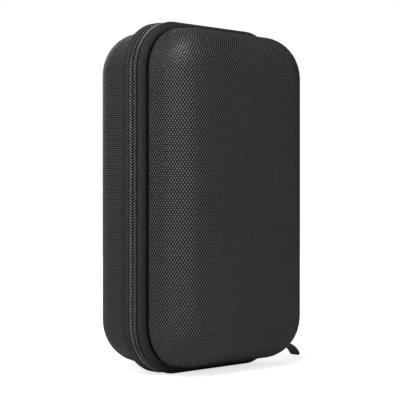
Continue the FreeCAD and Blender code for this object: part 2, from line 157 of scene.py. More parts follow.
def grid_mesh(name, points, uv=None, close_rows=False, close_columns=False, caps=False,
              row_finish=None, turn_over=False):
    """Mesh of one grid (rows, columns, 3) or of a stack of grids (count, rows, columns, 3).

    Each face joins four neighbours of the grid. With close_rows or close_columns
    the last joins the first again, and uv then has that row or column once more.
    The sum of a . (b x d) over the faces' triangles is six times the volume.
    """
    stack = points if points.ndim == 4 else points[None]
    count, rows, columns, _ = stack.shape
    r, c = np.meshgrid(
        np.arange(rows if close_rows else rows - 1),
        np.arange(columns if close_columns else columns - 1),
        indexing="ij",
    )
    steps = [(0, 0), (0, 1), (1, 1), (1, 0)]
    corners = np.stack([((r + a) % rows) * columns + (c + b) % columns for a, b in steps], axis=-1)
    flat = corners.reshape(-1, 4)
    quads = (flat[None] + (np.arange(count) * rows * columns)[:, None, None]).reshape(-1, 4)
    vertices = stack.reshape(-1, 3)
    a, b, d = vertices[quads[:, 0]], vertices[quads[:, 1]], vertices[quads[:, 2]]
    e = vertices[quads[:, 3]]
    volume = (a * np.cross(b, d)).sum() + (a * np.cross(d, e)).sum()
    ends = []
    if caps:
        first = np.arange(columns) if close_columns else np.arange(rows) * columns
        last = first + ((rows - 1) * columns if close_columns else columns - 1)
        for shift in np.arange(count) * rows * columns:
            ends += [(first[::-1] + shift).tolist(), (last + shift).tolist()]
        if not close_columns:
            ends = [end[::-1] for end in ends]
    closed = caps or (close_rows and close_columns)
    if turn_over if not closed else volume < 0:
        quads = quads[:, ::-1]
        steps = steps[::-1]
        ends = [end[::-1] for end in ends]
    mesh = bpy.data.meshes.new(name)
    mesh.from_pydata(vertices.tolist(), [], quads.tolist() + ends)
    mesh.polygons.foreach_set("use_smooth", np.ones(len(mesh.polygons), dtype=bool))
    if row_finish is not None:
        faces = np.tile(np.repeat(row_finish[: r.shape[0]], r.shape[1]), count)
        both = np.concatenate([faces, [row_finish[0], row_finish[-1]] * (len(ends) // 2)])
        mesh.polygons.foreach_set("material_index", both.astype(np.int32))
    if uv is not None:
        wide = columns + (1 if close_columns else 0)
        flat_uv = uv.reshape(-1, 2) * MM
        loops = np.stack([(r + p) * wide + (c + q) for p, q in steps], axis=-1).reshape(-1)
        values = np.tile(flat_uv[loops], (count, 1))
        if ends:
            index = np.concatenate([np.array(end) for end in ends]) % (rows * columns)
            values = np.concatenate([values, flat_uv[(index // columns) * wide + index % columns]])
        layer = mesh.uv_layers.new(name="cloth")
        layer.data.foreach_set("uv", values.astype(np.float32).ravel())
    mesh.validate()
    piece = bpy.data.objects.new(name, mesh)
    bpy.context.scene.collection.objects.link(piece)
    return piece


def dress(piece, body, *finishes, slot=None, nodes=()):
    """Give a piece its finishes, the body it rides on and the CAD nodes it stands for."""
    for material in finishes:
        piece.data.materials.append(material)
    if nodes:
        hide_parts(*nodes)
    if body:
        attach(piece, body)
    print(piece.name, "faces:", len(piece.data.polygons), "on", body)
    return piece


# %% [markdown]
# Black goods are all texture: the colour hardly changes, and the eye reads the
# cloth from its threads. The finishes share a few shader groups. Small helpers
# add the nodes, so that each pattern reads like its formula.

# %% Shader helpers


def math_node(tree, operation, first, second=0.0, third=0.0):
    """One math node. Each input is a number or another node's output."""
    node = tree.nodes.new("ShaderNodeMath")
    node.operation = operation
    for socket, value in zip(node.inputs, (first, second, third)):
        if isinstance(value, bpy.types.NodeSocket):
            tree.links.new(value, socket)
        else:
            socket.default_value = value
    return node.outputs[0]


def times(tree, first, second):
    return math_node(tree, "MULTIPLY", first, second)


def plus(tree, first, second):
    return math_node(tree, "ADD", first, second)


def straight(tree, value, slope, start):
    """The value times a slope, plus a start."""
    return math_node(tree, "MULTIPLY_ADD", value, slope, start)


def one_less(tree, value):
    return math_node(tree, "SUBTRACT", 1.0, value)


def sine(tree, value, factor=math.pi):
    return math_node(tree, "SINE", times(tree, value, factor))


def arch(tree, value, factor=math.pi):
    """A row of arches: the size of a sine."""
    return math_node(tree, "ABSOLUTE", sine(tree, value, factor))


def mixture(tree, first, second, share):
    """The share of the first value and the rest of the second."""
    return straight(tree, first, share, times(tree, second, 1.0 - share))


def axes(tree, vector):
    split = tree.nodes.new("ShaderNodeSeparateXYZ")
    tree.links.new(vector, split.inputs[0])
    return split.outputs


def in_cells(tree, vector, width, height):
    """A place in metres, counted in cells of a width and a height in millimetres."""
    place = axes(tree, vector)
    return [math_node(tree, "DIVIDE", times(tree, place[axis], 1000.0), size)
            for axis, size in (("X", width), ("Y", height))]


def blend_range(tree, value, low, high):
    """A smooth step from nought at low to one at high."""
    node = tree.nodes.new("ShaderNodeMapRange")
    node.interpolation_type = "SMOOTHSTEP"
    tree.links.new(value, node.inputs["Value"])
    node.inputs["From Min"].default_value = low
    node.inputs["From Max"].default_value = high
    return node.outputs["Result"]


def noise(tree, vector, scale, detail=2.0):
    node = tree.nodes.new("ShaderNodeTexNoise")
    node.inputs["Scale"].default_value = scale
    node.inputs["Detail"].default_value = detail
    tree.links.new(vector, node.inputs["Vector"])
    return node.outputs["Fac"]


def mix_colour(tree, mask, low, high):
    """Colour that goes from low to high with the mask. Each is a grey level or an output."""
    node = tree.nodes.new("ShaderNodeMix")
    node.data_type = "RGBA"
    tree.links.new(mask, node.inputs[0])
    for socket, value in ((node.inputs[6], low), (node.inputs[7], high)):
        if isinstance(value, bpy.types.NodeSocket):
            tree.links.new(value, socket)
        else:
            socket.default_value = (value, value, value, 1.0)
    return node.outputs[2]


def own_uv(tree):
    node = tree.nodes.new("ShaderNodeUVMap")
    node.uv_map = "cloth"
    return node.outputs["UV"]


def object_place(tree):
    return tree.nodes.new("ShaderNodeTexCoord").outputs["Object"]


def effect(name, inputs, outputs):
    """A shader node group: its tree, what it is given and what it hands out.

    Inputs have a number each, or None for a vector. All outputs are numbers.
    """
    group = bpy.data.node_groups.new(name, "ShaderNodeTree")
    for label, value in inputs.items():
        kind = "NodeSocketVector" if value is None else "NodeSocketFloat"
        socket = group.interface.new_socket(label, in_out="INPUT", socket_type=kind)
        if value is not None:
            socket.default_value = value
    for label in outputs:
        group.interface.new_socket(label, in_out="OUTPUT", socket_type="NodeSocketFloat")
    given = group.nodes.new("NodeGroupInput").outputs
    return group, given, group.nodes.new("NodeGroupOutput").inputs


def place_group(tree, group, **values):
    """A group in a material, with its inputs linked or set."""
    node = tree.nodes.new("ShaderNodeGroup")
    node.node_tree = group
    for label, value in values.items():
        if isinstance(value, bpy.types.NodeSocket):
            tree.links.new(value, node.inputs[label])
        else:
            node.inputs[label].default_value = value
    return node.outputs


def finish(name, **levels):
    """A material, its tree and its Principled shader with constant levels set on it.

    Underscores in the levels' names stand for spaces.
    """
    material = bpy.data.materials.new(name)
    material.use_nodes = True
    shader = material.node_tree.nodes["Principled BSDF"]
    for label, level in levels.items():
        shader.inputs[label.replace("_", " ")].default_value = level
    return material, material.node_tree, shader


def paint(tree, shader, mask, dark, pale):
    tree.links.new(mix_colour(tree, mask, dark, pale), shader.inputs["Base Color"])


def raise_surface(tree, shader, height, distance):
    """Bump from a height between nought and one, as deep as the distance in metres."""
    bump = tree.nodes.new("ShaderNodeBump")
    bump.inputs["Distance"].default_value = distance
    tree.links.new(height, bump.inputs["Height"])
    tree.links.new(bump.outputs["Normal"], shader.inputs["Normal"])


# %% [markdown]
# The cloth is a plain weave of thick ballistic yarn: over one, under one. In the
# photograph a column of yarn comes every 0.98 mm and a row every 1.44 mm. Each
# crossing shows one yarn as a small pillow, high in its middle, with painted shade
# where it dips. Towards the upper left the crowns carry a painted highlight. A
# chequer of the cells says which yarn is on top. The back half's cloth is set so
# that its rows dominate and its columns nearly vanish.

# %% Woven cloth
WEAVE_COLUMN = 0.98
WEAVE_ROW = 1.44
FLUTTER = 0.12


def woven_cloth_group():
    """Plain weave: in each cell the yarn on top is an arch across itself and along itself."""
    group, given, wanted = effect(
        "woven cloth", {"Vector": None, "Column": WEAVE_COLUMN, "Row": WEAVE_ROW, "Ribs": 0.0},
        ["Height", "Gap", "Crown", "Yarn"])
    vector, ribs = given["Vector"], given["Ribs"]
    shift = straight(group, noise(group, vector, 260.0, 1.0), FLUTTER, -FLUTTER / 2)
    place = in_cells(group, vector, given["Column"], given["Row"])
    across, up = [plus(group, cells, shift) for cells in place]
    cells = plus(group, math_node(group, "FLOOR", across), math_node(group, "FLOOR", up))
    parity = math_node(group, "GREATER_THAN", math_node(group, "PINGPONG", cells, 1.0), 0.5)
    arch_x, arch_z = arch(group, across), arch(group, up)
    crown = math_node(group, "POWER", times(group, arch_x, arch_z), 0.6)
    saddle = times(group, one_less(group, arch_x), 0.35)
    top = times(group, parity, crown)
    under = times(group, one_less(group, parity), saddle)
    rib = times(group, math_node(group, "POWER", arch_z, 0.7), ribs)
    height = plus(group, times(group, plus(group, top, under), one_less(group, ribs)), rib)
    lit = math_node(group, "MAXIMUM", top, rib)
    group.links.new(height, wanted["Height"])
    group.links.new(blend_range(group, lit, 0.3, 0.85), wanted["Crown"])
    group.links.new(one_less(group, blend_range(group, height, 0.25, 0.8)), wanted["Gap"])
    group.links.new(noise(group, vector, 900.0), wanted["Yarn"])
    return group


def painted_highlight_group():
    """Share of painted highlight on the crowns, from the place in metres.

    The share falls from the toothed side across the face, rises again towards
    the top and sinks a little towards the floor, each by a smooth step.
    """
    group, given, wanted = effect("painted highlight share", {"Vector": None}, ["Share"])
    place = axes(group, given["Vector"])
    # Painted highlight: the share is high where the upper-left lamps catch the crowns.
    share = straight(group, blend_range(group, place["X"], -0.066, 0.030), -0.95, 1.0)
    share = straight(group, blend_range(group, place["Z"], 0.150, 0.222), 0.45, share)
    share = straight(group, blend_range(group, place["Z"], 0.130, 0.0), -0.15, share)
    clamped = group.nodes.new("ShaderNodeClamp")
    group.links.new(share, clamped.inputs["Value"])
    group.links.new(clamped.outputs[0], wanted["Share"])
    return group


WOVEN = woven_cloth_group()
PAINTED_HIGHLIGHT = painted_highlight_group()


def cloth_finish(name, ribs, crown, shaded_gap, gleam):
    """Nylon cloth: crowns over gaps painted dark as shade.

    Where the painted highlight's share is high, crowns are painted paler as a highlight
    and gaps darker as shade, and the crowns gleam with a coat; where it is low, crown
    and gap are nearly alike. Every yarn's own tone multiplies the colour.
    """
    material, tree, shader = finish(name, Roughness=0.75, Specular_IOR_Level=0.2,
                                    Coat_Roughness=0.48)
    weave = place_group(tree, WOVEN, Vector=own_uv(tree), Column=WEAVE_COLUMN, Row=WEAVE_ROW,
                        Ribs=ribs)
    share = place_group(tree, PAINTED_HIGHLIGHT, Vector=object_place(tree))["Share"]
    # Painted highlight on the crowns and painted shade in the gaps, both grown by the share.
    even = 0.6 * shaded_gap + 0.4 * crown
    dark = mix_colour(tree, share, 0.75 * even, shaded_gap)
    pale = mix_colour(tree, share, even, crown)
    product = tree.nodes.new("ShaderNodeMix")
    product.data_type = "RGBA"
    product.blend_type = "MULTIPLY"
    product.inputs[0].default_value = 1.0
    tree.links.new(mix_colour(tree, weave["Crown"], dark, pale), product.inputs[6])
    tree.links.new(mix_colour(tree, weave["Yarn"], 0.7, 1.3), product.inputs[7])
    tree.links.new(product.outputs[2], shader.inputs["Base Color"])
    highlight_coat = times(tree, weave["Crown"], times(tree, share, gleam))
    tree.links.new(highlight_coat, shader.inputs["Coat Weight"])
    raise_surface(tree, shader, weave["Height"], 0.0003)
    return material


FRONT_CLOTH = cloth_finish("front woven cloth", ribs=0.0, crown=0.062, shaded_gap=0.001, gleam=1.0)
BACK_CLOTH = cloth_finish("back ribbed cloth", ribs=0.75, crown=0.027, shaded_gap=0.002, gleam=0.4)
print("woven cloth ready")

# %% [markdown]
# The inside of both halves is lined with a fine warp knit, glued to the board
# when it is pressed. Its loops make narrow upright wales. The same knit covers
# the foam cradle. The tapes, bindings and elastic are ribbons: fine slanting
# floats of yarn between two firm edges. One group each serves all of them.

# %% Knit and ribbon


def knit_group():
    """Wales are arches across; the loops are a slanted ripple along each wale. Shade paints the low
    places darker, as painted shade, mixed with fuzz.
    """
    group, given, wanted = effect("warp knit", {"Vector": None, "Wale": 0.9},
                                  ["Height", "Shade"])
    x, y = in_cells(group, given["Vector"], given["Wale"], given["Wale"])
    wale = arch(group, x)
    lean = plus(group, times(group, y, 1.4 * math.pi), times(group, wale, 2.2))
    loop = straight(group, sine(group, lean, 2.0), 0.5, 0.5)
    ridge = math_node(group, "POWER", wale, 0.6)
    height = times(group, ridge, straight(group, loop, 0.45, 0.55))
    fuzz = noise(group, given["Vector"], 420.0, 4.0)
    group.links.new(height, wanted["Height"])
    # Painted shade: the knit's low places are darker, mixed with fuzz.
    group.links.new(mixture(group, height, fuzz, 0.6), wanted["Shade"])
    return group


def ribbon_group():
    """Ribbon weave: fine slanting floats with a slow change in tone. Shade paints the low places
    between floats darker, as painted shade.
    """
    group, given, wanted = effect("ribbon weave", {"Vector": None, "Pitch": 0.9, "Slant": 1.0},
                                  ["Height", "Shade"])
    x, y = in_cells(group, given["Vector"], given["Pitch"], given["Pitch"])
    slanted = straight(group, y, given["Slant"], x)
    floats = straight(group, sine(group, slanted, 2 * math.pi), 0.5, 0.5)
    height = mixture(group, floats, arch(group, y, 2.2 * math.pi), 0.7)
    fuzz = noise(group, given["Vector"], 300.0, 3.0)
    group.links.new(height, wanted["Height"])
    # Painted shade: the low places between floats are darker, mixed with fuzz.
    group.links.new(mixture(group, height, fuzz, 0.55), wanted["Shade"])
    return group


KNIT = knit_group()
RIBBON = ribbon_group()


def patterned_finish(name, group, values, dark, pale, depth, **levels):
    """A finish whose colour and bump follow a pattern group on the piece's own map."""
    material, tree, shader = finish(name, **levels)
    pattern = place_group(tree, group, Vector=own_uv(tree), **values)
    # The Shade output is painted shade in the low places, with fuzz.
    paint(tree, shader, pattern["Shade"], dark, pale)
    raise_surface(tree, shader, pattern["Height"], depth)
    return material


def knitted(name, dark, pale):
    return patterned_finish(name, KNIT, {"Wale": 0.9}, dark, pale, 0.00012,
                            Roughness=0.85, Sheen_Weight=0.3)


def taped(name, pitch, slant, dark, pale, depth):
    return patterned_finish(name, RIBBON, {"Pitch": pitch, "Slant": slant}, dark, pale, depth,
                            Roughness=0.7, Specular_IOR_Level=0.25)


LINING = knitted("knit lining", dark=0.008, pale=0.032)
CRADLE_KNIT = knitted("cradle knit", dark=0.010, pale=0.042)
TAPE_CLOTH = taped("zip tape cloth", pitch=0.95, slant=0.8, dark=0.003, pale=0.017, depth=0.00025)
BINDING_CLOTH = taped("binding cloth", pitch=1.2, slant=0.0, dark=0.012, pale=0.034, depth=0.00014)
THREAD = taped("sewing thread", pitch=0.3, slant=1.0, dark=0.03, pale=0.10, depth=0.0001)
ELASTIC = patterned_finish("woven elastic", RIBBON, {"Pitch": 1.1, "Slant": 0.0}, dark=0.006,
                           pale=0.038, depth=0.0002, Roughness=0.55, Sheen_Weight=0.2)
print("finishes so far:", len(bpy.data.materials))

# %% [markdown]
# Each half is thin board, pressed hot in a mould with the cloth outside and the
# knit inside. Seen along the outline it is one closed profile: flat face, wide
# rounding, drafted side, the flange that the zip tape folds over, then the same
# forms inside. The cloth's pattern is laid flat on the face and unrolled over
# the rounding, so it crowds at the corners as pressed cloth does.

# %% Moulded halves
RIM_INSET = 4.2
RIM_REACH = 4.7
WALL = 4.0
DRAFT = 2.3
FRONT_DEPTH = 42.0
BACK_DEPTH = 47.0
FRONT_EDGE = 23.5
BACK_EDGE = 23.5
TAPE = 0.7
TAPE_SEAT = 1.75
TAPE_EDGE = 0.9
SHOULDER_REACH = 3.9
SHOULDER_RUN = 0.6
# Each band of tape: its reach and the run of its fold.
FRONT_BAND = (7.6, 2.4)
BACK_BAND = (13.6, 4.2)
BAND_TUCK = 0.2
BAND_BULGE = 0.75
# Each channel: its width and its depth.
FRONT_CHANNEL = (2.3, 1.5)
BACK_CHANNEL = (1.1, 0.9)
FOLD_TUCK = 1.0
GAP = 0.1
SEAT_GAP = 0.02
FACE_RINGS = (0.12, 0.35, 0.6, 0.85)
SEAM_GAP = 0.3
INNER_STOP = 0.6


def moulded_profile(start_inset, depth, radius, side_from):
    """Profile (inset, reach) from the face's edge over the rounding and down the side.

    The side leans in by the draft between the rim and the face. The rounding is
    the arc that touches the face and that leaning side.
    """
    lean = math.atan2(DRAFT, depth - RIM_REACH)
    centre_reach = depth - radius
    centre_inset = (start_inset + math.tan(lean) * (centre_reach - RIM_REACH)
                    + radius / math.cos(lean))
    angle = np.linspace(math.pi / 2, lean, 22)
    rounding = paired(centre_inset - radius * np.cos(angle), centre_reach + radius * np.sin(angle))
    reach = np.linspace(rounding[-1, 1], side_from, 8)[1:]
    side = paired(start_inset + math.tan(lean) * (reach - RIM_REACH), reach)
    return np.concatenate([rounding, side])


def moulded_half(name, depth, radius, band, channel, half):
    """Closed half: scaled rings on the face, then the profile swept round the outline.

    Beside the tape the side dips into a stitched channel, a quarter wave as wide
    and deep as given. Rows take finish 0 outside, 1 inside and 2 in the channel,
    whose near-black colour is painted shade.
    """
    band_reach, band_round = band
    wide, deep = channel
    outside = moulded_profile(RIM_INSET, depth, radius, band_reach + wide + SEAM_GAP)
    share = np.linspace(0, 1, 7)[1:]
    reach = band_reach + wide * (1 - share)
    lean = DRAFT / (depth - RIM_REACH)
    dip = RIM_INSET + lean * (reach - RIM_REACH) + deep * np.sin(share * math.pi / 2) ** 0.7
    first_shade_row = len(outside)
    lip = [[dip[-1], band_reach - TAPE - BAND_TUCK]]
    outside = np.concatenate([outside, paired(dip, reach), lip])
    flange = np.array([
        [TAPE + GAP, band_reach - band_round - BAND_TUCK],
        [TAPE + GAP, SHOULDER_REACH + SHOULDER_RUN + TAPE + GAP],
        [TAPE_SEAT + TAPE + GAP, RIM_REACH + SEAT_GAP],
        [RIM_INSET + WALL, RIM_REACH + SEAT_GAP],
    ])
    inside = moulded_profile(RIM_INSET + WALL, depth - WALL, radius - WALL,
                             RIM_REACH + INNER_STOP)[::-1]
    profile = np.concatenate([outside, flange, inside])
    length = np.append(0.0, np.cumsum(np.hypot(*np.diff(profile, axis=0).T)))
    turn = len(outside) + 2
    length[turn:] = length[-1] - length[turn:]
    distance = stations(straight_step=9.0, corner_step=2.2)
    closing = np.append(distance, PERIMETER)
    swept = around(distance[None, :], profile[:, :1], profile[:, 1:], half)
    x, z, out_x, out_z = outline(closing[None, :])
    edge = np.where(np.arange(len(profile)) < turn, CORNER - profile[0, 0], CORNER - profile[-1, 0])
    flat = edge[:, None] + length[:, None]
    uv = paired(x + out_x * flat, z + out_z * flat)
    share = np.array(FACE_RINGS)[:, None, None]
    rows = []
    for grid, middle in ((swept, np.array([0.0, 0.0, HEIGHT / 2]) * MM),
                         (uv, np.array([0.0, HEIGHT / 2]))):
        ends = []
        for row in (grid[0], grid[-1]):
            centre = middle.copy()
            if len(centre) == 3:
                centre[1] = row[0, 1]
            ends.append(centre + share * (row - centre))
        rows.append(np.concatenate([ends[0], grid, ends[1][::-1]]))
    points, cloth = rows
    row = np.arange(len(points)) - len(FACE_RINGS)
    row_finish = np.where(row < turn, 0, 1)
    # Rows in the channel take finish 2, the painted shade.
    row_finish[(row >= first_shade_row - 1) & (row < len(outside))] = 2
    return grid_mesh(name, points, uv=cloth, close_columns=True, caps=True,
                     row_finish=row_finish)


def groove_shade_finish():
    """Painted shade in the sewn channel that its seam draws in: near-black matt colour for its
    shadow, with a fine grain.
    """
    material, tree, shader = finish("painted groove shade", Roughness=1.0, Specular_IOR_Level=0.05)
    grain = noise(tree, object_place(tree), 900.0)
    # Painted shade: near-black colour for the shadow in the groove.
    paint(tree, shader, grain, 0.0008, 0.004)
    raise_surface(tree, shader, grain, 0.0002)
    return material


GROOVE_SHADE = groove_shade_finish()
front_half = moulded_half("front_half_cloth", FRONT_DEPTH, FRONT_EDGE, FRONT_BAND,
                          FRONT_CHANNEL, FRONT)
dress(front_half, "lid", FRONT_CLOTH, LINING, GROOVE_SHADE, slot="dotted_cloth", nodes=["front_shell"])
back_half = moulded_half("back_half_cloth", BACK_DEPTH, BACK_EDGE, BACK_BAND,
                         BACK_CHANNEL, BACK)
dress(back_half, "base", BACK_CLOTH, LINING, GROOVE_SHADE, slot="ribbed_cloth", nodes=["back_shell"])

# %% [markdown]
# The zip tape is a woven ribbon. Its toothed edge lies flat in the seam and the
# rest folds over the flange, where stitching draws it in against the shell. It
# is one closed section swept once round the case. The section's corners are
# sampled as short arcs, so the fold catches the light softly.

# %% Swept bands


def softened(corners, radius, pieces=4):
    """A closed section with its corners rounded by quadratic curves.

    Each corner gives way to points of the curve from the radius before it to
    the radius after it, pulled towards the corner.
    """
    corners = np.asarray(corners, dtype=float)
    before = np.roll(corners, 1, axis=0) - corners
    after = np.roll(corners, -1, axis=0) - corners
    cut_before = np.minimum(radius, 0.45 * np.linalg.norm(before, axis=1))
    cut_after = np.minimum(radius, 0.45 * np.linalg.norm(after, axis=1))
    start = corners + before / np.linalg.norm(before, axis=1)[:, None] * cut_before[:, None]
    end = corners + after / np.linalg.norm(after, axis=1)[:, None] * cut_after[:, None]
    t = np.linspace(0, 1, pieces)[None, :, None]
    curve = ((1 - t) ** 2 * start[:, None] + 2 * t * (1 - t) * corners[:, None]
             + t ** 2 * end[:, None])
    return curve.reshape(-1, 2)


def band_piece(name, section, half, distance=None, closed_way=True):
    """A closed section of (inset, reach) carried along the outline.

    Across the cloth's map goes the distance along the outline, up it goes the
    length round the section.
    """
    if distance is None:
        distance = stations(straight_step=6.0, corner_step=1.8)
    loop = np.concatenate([section, section[:1]])
    length = np.append(0.0, np.cumsum(np.hypot(*np.diff(loop, axis=0).T)))
    way = np.append(distance, PERIMETER) if closed_way else distance
    uv = paired(way[None, :], length[:, None])
    points = around(distance[None, :], section[:, :1], section[:, 1:], half)
    if closed_way:
        return grid_mesh(name, points, uv=uv, close_rows=True, close_columns=True)
    turned = points.transpose(1, 0, 2)
    return grid_mesh(name, turned, uv=uv.transpose(1, 0, 2), close_columns=True, caps=True)


def tape_section(band):
    """The tape: flat under the coil, up over the shoulder, along and round the fold.

    Both sides of the fold are a chord lifted by a parabola along one normal.
    """
    band_reach, band_round = band
    shoulder = SHOULDER_REACH + SHOULDER_RUN
    turn = np.linspace(0, 1, 9)[1:-1, None]
    flat = band_reach - band_round
    tuck = RIM_INSET + FOLD_TUCK
    normal = np.array([-band_round, tuck]) / math.hypot(band_round, tuck)
    lift = BAND_BULGE * 4 * turn * (1 - turn) * normal

    def fold(start, end):
        start, end = np.array(start), np.array(end)
        return start + (end - start) * turn + lift

    outer_fold = fold([0.0, flat], [tuck, band_reach])
    inner_fold = fold([tuck, band_reach - TAPE - BAND_TUCK], [TAPE, flat - BAND_TUCK])
    head = [[TAPE_SEAT, TAPE_EDGE], [TAPE_SEAT, SHOULDER_REACH], [0.0, shoulder], [0.0, flat]]
    seat = TAPE_SEAT + TAPE
    tail = [[TAPE, shoulder + TAPE], [seat, RIM_REACH], [seat, TAPE_EDGE]]
    end = [[tuck, band_reach], [tuck, band_reach - TAPE - BAND_TUCK]]
    root = [[TAPE, flat - BAND_TUCK]]
    corners = np.concatenate([head, outer_fold, end, inner_fold, root, tail])
    return softened(corners, 0.35, 3)


front_tape = band_piece("front_tape_cloth", tape_section(FRONT_BAND), FRONT)
dress(front_tape, "lid", TAPE_CLOTH, slot="zip_tape", nodes=["front_zipper_tape"])
back_tape = band_piece("back_tape_cloth", tape_section(BACK_BAND), BACK)
dress(back_tape, "base", TAPE_CLOTH, slot="zip_tape", nodes=["back_zipper_tape"])

# %% [markdown]
# A coil zip has no separate teeth. Each side is one nylon filament wound like a
# flattened spring and sewn to the tape, and the loops of the two sides stand
# between each other. The upper legs lean, one way on the front and the other
# way on the back, which gives the chain its herringbone look. The upper legs are
# painted paler, a painted highlight where the lamps catch their curve. A pitch of
# 1.87 mm was measured in the photograph.

# %% Wound coils
COIL_PITCH = 1.87
COIL_REACH = 3.5
COIL_INSET = 0.25
COIL_OVERLAP = 0.5
CHAIN_END = 57.0
PARTED_FROM = 12.0
PARTED_GAP = 0.95
WIRE = 0.36
WIRE_SIDES = 6
UPPER_LEAN = 0.8
LEG_SHIFT = 0.3
CHAIN_START = KNOTS[1] + math.radians(90.0 - CHAIN_END) * CORNER
CHAIN_LENGTH = PERIMETER - 2 * CHAIN_START


def smooth(value):
    value = np.clip(value, 0, 1)
    return value * value * (3 - 2 * value)


def coil_path(half):
    """Centre line (distance, inset, reach) of one filament.

    Turn by turn it runs from the loop's tip over the upper leg to its root and
    back under. The tip reaches past the zip plane, and stops short of it where
    the slider has parted the chain. The upper leg leans by most of a pitch.
    """
    first = COIL_PITCH * (0.75 if half == FRONT else 0.25)
    turns = int((CHAIN_LENGTH - first) / COIL_PITCH)
    share = np.linspace(0, 1, 12, endpoint=False)
    angle = 2 * math.pi * share
    k = np.arange(turns)[:, None]
    base = first + k * COIL_PITCH
    parted = base < math.radians(CHAIN_END - PARTED_FROM) * CORNER
    tip = np.where(parted, PARTED_GAP, -COIL_OVERLAP) + WIRE
    root = COIL_REACH - WIRE
    swing = (1 - np.cos(angle)) / 2
    reach = tip + (root - tip) * swing[None, :] ** 0.8
    upper = UPPER_LEAN * smooth((swing - 0.12) / 0.88)
    under = UPPER_LEAN + (1 - UPPER_LEAN) * smooth((share - 0.5) / 0.5)
    lean = np.where(share < 0.5, upper, under)
    middle = (COIL_INSET + TAPE_SEAT) / 2
    rise = (TAPE_SEAT - COIL_INSET) / 2 - WIRE
    inset = middle - rise * signed_power(np.sin(angle), 0.6)
    distance = base - LEG_SHIFT * COIL_PITCH + lean[None, :] * COIL_PITCH
    return (CHAIN_START + distance).ravel(), np.tile(inset, turns), reach.ravel()


def tube(path, radius, sides, up):
    """Tube round a path: at each point a circle square to the run.

    The circle's first axis is the given up direction with its part along the
    run taken off, and its second axis is square to both.
    """
    run = np.gradient(path, axis=0)
    run /= np.linalg.norm(run, axis=1)[:, None]
    first = up - run * (up * run).sum(axis=1)[:, None]
    first /= np.linalg.norm(first, axis=1)[:, None]
    second = np.cross(run, first)
    angle = np.linspace(0, 2 * math.pi, sides, endpoint=False)
    ring = first[:, None] * np.cos(angle)[:, None] + second[:, None] * np.sin(angle)[:, None]
    return path[:, None] + ring * radius


def coil_piece(name, half):
    distance, inset, reach = coil_path(half)
    path = around(distance, inset, reach, half)
    _, _, out_x, out_z = outline(distance)
    along = np.stack([-out_z, np.zeros_like(out_x), out_x], axis=1)
    points = tube(path, WIRE * MM, WIRE_SIDES, along)
    uv = paired(reach[:, None], inset[:, None] + np.zeros(WIRE_SIDES + 1))
    return grid_mesh(name, points, uv=uv, close_columns=True, caps=True)


def filament_finish(name, dark_at, pale_at):
    """Black nylon filament whose upper legs are painted pale as a highlight.

    The painted highlight grows between the two reaches, in millimetres from the chain's middle.
    """
    material, tree, shader = finish(name, Specular_IOR_Level=0.3)
    section = axes(tree, own_uv(tree))
    pale_mask = blend_range(tree, section["X"], dark_at * MM, pale_at * MM)
    upper = blend_range(tree, section["Y"], 1.1 * MM, 0.7 * MM)
    highlight_variation = straight(tree, noise(tree, object_place(tree), 240.0, 3.0), 0.6, 0.7)
    share = times(tree, times(tree, pale_mask, upper), highlight_variation)
    # Painted highlight: pale colour on the upper legs where the lamps catch them, broken up by
    # noise.
    paint(tree, shader, share, 0.002, 0.095)
    tree.links.new(straight(tree, share, -0.2, 0.6), shader.inputs["Roughness"])
    raise_surface(tree, shader, noise(tree, object_place(tree), 1500.0), 0.00002)
    return material


front_filament = filament_finish("front filament", dark_at=3.0, pale_at=2.2)
dress(coil_piece("front_wound_coil", FRONT), "lid", front_filament,
      slot="coil", nodes=["front_coil"])
back_filament = filament_finish("back filament", dark_at=0.6, pale_at=1.8)
dress(coil_piece("back_wound_coil", BACK), "base", back_filament,
      slot="coil", nodes=["back_coil"])

# %% [markdown]
# A row of lockstitches holds each coil turn to the back tape and shows on top of
# its shoulder as one small bead of thread for each turn.

# %% Coil stitches
STITCH_REACH = 4.95
STITCH_HALF_RUN = 0.30
STITCH_HALF_WIDTH = 0.50
STITCH_RISE = 0.22


def stitch_row(name, half):
    """Beads: half ellipsoids, one a pitch, from polar and turning angles.

    All beads are one stack of small grids, each of four rings of six points from
    the crown to the rim.
    """
    count = int(CHAIN_LENGTH / COIL_PITCH)
    middle = CHAIN_START + (np.arange(count) + 0.5) * COIL_PITCH
    polar = np.linspace(0.05, math.pi / 2, 4)
    turn = np.linspace(0, 2 * math.pi, 6, endpoint=False)
    run = STITCH_HALF_RUN * np.sin(polar)[:, None] * np.cos(turn)
    across = STITCH_HALF_WIDTH * np.sin(polar)[:, None] * np.sin(turn)
    inset = SEAT_GAP - STITCH_RISE * np.cos(polar)[:, None]
    points = around(middle[:, None, None] + run, inset, STITCH_REACH + across, half)
    closing = [*range(len(turn)), 0]
    uv = paired(run[:, closing], across[:, closing])
    return grid_mesh(name, points, uv=uv, close_columns=True, caps=True)


dress(stitch_row("back_coil_stitches", BACK), "base", THREAD, slot="zip_tape")

# %% [markdown]
# On the long side without teeth the halves are joined by a strip of cloth. It is
# sewn over the edges of both tapes and folds along its middle when the lid
# opens. Here it is one strip that rides on neither half. It crowns a little
# over the seam, and its ends are turned in.

# %% Hinge cloth
HINGE_THICK = 0.85
HINGE_REACH = 3.8
HINGE_CROWN = 0.25
HINGE_TAPER = 1.2
HINGE_END_WIDTH = 0.75
HINGE_WEAVE = 0.7
HINGE_CLEAR = 2.8
HINGE_START = CHAIN_END + math.degrees(HINGE_CLEAR / CORNER)
hinge_run = KNOTS[1] + math.radians(90.0 - HINGE_START) * CORNER


def strip_section(half_width, outer, inner, crown, columns=13):
    """Closed lens of (inset, reach): outside a fourth power's curve, flat inside."""
    reach = np.linspace(-half_width, half_width, columns)
    top = paired(outer + crown * (reach / half_width) ** 4, reach)
    return np.concatenate([top, paired(inner, reach[::-1])])


